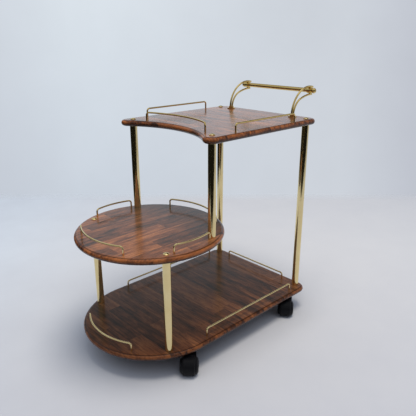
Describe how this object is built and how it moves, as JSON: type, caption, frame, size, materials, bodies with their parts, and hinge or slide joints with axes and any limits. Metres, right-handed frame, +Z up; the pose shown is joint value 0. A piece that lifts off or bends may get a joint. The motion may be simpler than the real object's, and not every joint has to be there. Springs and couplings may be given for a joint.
{
  "type": "tea trolley",
  "caption": "Tea trolley with a rounded long bottom shelf, a round middle shelf and a hollow-fronted top shelf, on metal tube posts with wire rails, a bow handle and casters.",
  "frame": {"origin": "the middle of the floor under the trolley: half way along its length and width, at the wheels' lowest points", "axes": "+X towards the handle, -X towards the rounded end, +Y to the right of a person who stands at the handle and looks to -X, +Z up"},
  "size_m": [0.7832, 0.4786, 0.7364],
  "materials": {
    "shelf_wood": "dark reddish brown stave timber under a glossy clear lacquer",
    "brass": "polished pale brass tube and wire",
    "steel": "plain zinc plated steel",
    "black_plastic": "black nylon with a soft sheen"
  },
  "bodies": {
    "frame": {"top_shelf": "shelf_wood", "middle_shelf": "shelf_wood", "bottom_shelf": "shelf_wood", "post_upper_left": "brass", "post_upper_right": "brass", "post_rear_left": "brass", "post_rear_right": "brass", "post_lower_left": "brass", "post_lower_right": "brass", "post_plugs": "black_plastic", "tie_rods_upper": "steel", "tie_rods_rear": "steel", "tie_rods_lower": "steel", "cap_nuts": "brass", "rod_washers": "steel", "rod_nuts": "steel", "top_rail_left": "brass", "top_rail_right": "brass", "top_rail_front": "brass", "middle_rail_left": "brass", "middle_rail_right": "brass", "middle_rail_front": "brass", "middle_rail_rear": "brass", "bottom_rail_left": "brass", "bottom_rail_right": "brass", "bottom_rail_front": "brass", "bottom_rail_rear": "brass", "handle_bar": "brass", "handle_bracket_left": "brass", "handle_bracket_right": "brass", "handle_flanges": "brass", "handle_end_caps": "brass", "handle_screws": "steel", "caster_sockets": "steel", "caster_stems": "steel"},
    "front_left_caster": {"front_left_hood": "black_plastic", "front_left_axle": "steel"},
    "front_left_wheel_a": {"front_left_wheel_a": "black_plastic"},
    "front_left_wheel_b": {"front_left_wheel_b": "black_plastic"},
    "front_right_caster": {"front_right_hood": "black_plastic", "front_right_axle": "steel"},
    "front_right_wheel_a": {"front_right_wheel_a": "black_plastic"},
    "front_right_wheel_b": {"front_right_wheel_b": "black_plastic"},
    "rear_left_caster": {"rear_left_hood": "black_plastic", "rear_left_axle": "steel"},
    "rear_left_wheel_a": {"rear_left_wheel_a": "black_plastic"},
    "rear_left_wheel_b": {"rear_left_wheel_b": "black_plastic"},
    "rear_right_caster": {"rear_right_hood": "black_plastic", "rear_right_axle": "steel"},
    "rear_right_wheel_a": {"rear_right_wheel_a": "black_plastic"},
    "rear_right_wheel_b": {"rear_right_wheel_b": "black_plastic"}
  },
  "joints": [
    {"name": "front_left_swivel", "type": "hinge", "parent": "frame", "child": "front_left_caster", "pos_m": [-0.20162, -0.192, 0.06], "axis": [0, 0, 1], "continuous": true},
    {"name": "front_left_spin_a", "type": "hinge", "parent": "front_left_caster", "child": "front_left_wheel_a", "pos_m": [-0.21718, -0.20756, 0.025], "axis": [0.7071, -0.7071, 0], "continuous": true},
    {"name": "front_left_spin_b", "type": "hinge", "parent": "front_left_caster", "child": "front_left_wheel_b", "pos_m": [-0.21718, -0.20756, 0.025], "axis": [0.7071, -0.7071, 0], "continuous": true},
    {"name": "front_right_swivel", "type": "hinge", "parent": "frame", "child": "front_right_caster", "pos_m": [-0.20162, 0.192, 0.06], "axis": [0, 0, 1], "continuous": true},
    {"name": "front_right_spin_a", "type": "hinge", "parent": "front_right_caster", "child": "front_right_wheel_a", "pos_m": [-0.21718, 0.20756, 0.025], "axis": [-0.7071, -0.7071, 0], "continuous": true},
    {"name": "front_right_spin_b", "type": "hinge", "parent": "front_right_caster", "child": "front_right_wheel_b", "pos_m": [-0.21718, 0.20756, 0.025], "axis": [-0.7071, -0.7071, 0], "continuous": true},
    {"name": "rear_left_swivel", "type": "hinge", "parent": "frame", "child": "rear_left_caster", "pos_m": [0.23438, -0.192, 0.06], "axis": [0, 0, 1], "continuous": true},
    {"name": "rear_left_spin_a", "type": "hinge", "parent": "rear_left_caster", "child": "rear_left_wheel_a", "pos_m": [0.21635, -0.20462, 0.025], "axis": [0.5736, -0.8192, 0], "continuous": true},
    {"name": "rear_left_spin_b", "type": "hinge", "parent": "rear_left_caster", "child": "rear_left_wheel_b", "pos_m": [0.21635, -0.20462, 0.025], "axis": [0.5736, -0.8192, 0], "continuous": true},
    {"name": "rear_right_swivel", "type": "hinge", "parent": "frame", "child": "rear_right_caster", "pos_m": [0.23438, 0.192, 0.06], "axis": [0, 0, 1], "continuous": true},
    {"name": "rear_right_spin_a", "type": "hinge", "parent": "rear_right_caster", "child": "rear_right_wheel_a", "pos_m": [0.21635, 0.20462, 0.025], "axis": [-0.5736, -0.8192, 0], "continuous": true},
    {"name": "rear_right_spin_b", "type": "hinge", "parent": "rear_right_caster", "child": "rear_right_wheel_b", "pos_m": [0.21635, 0.20462, 0.025], "axis": [-0.5736, -0.8192, 0], "continuous": true}
  ]
}
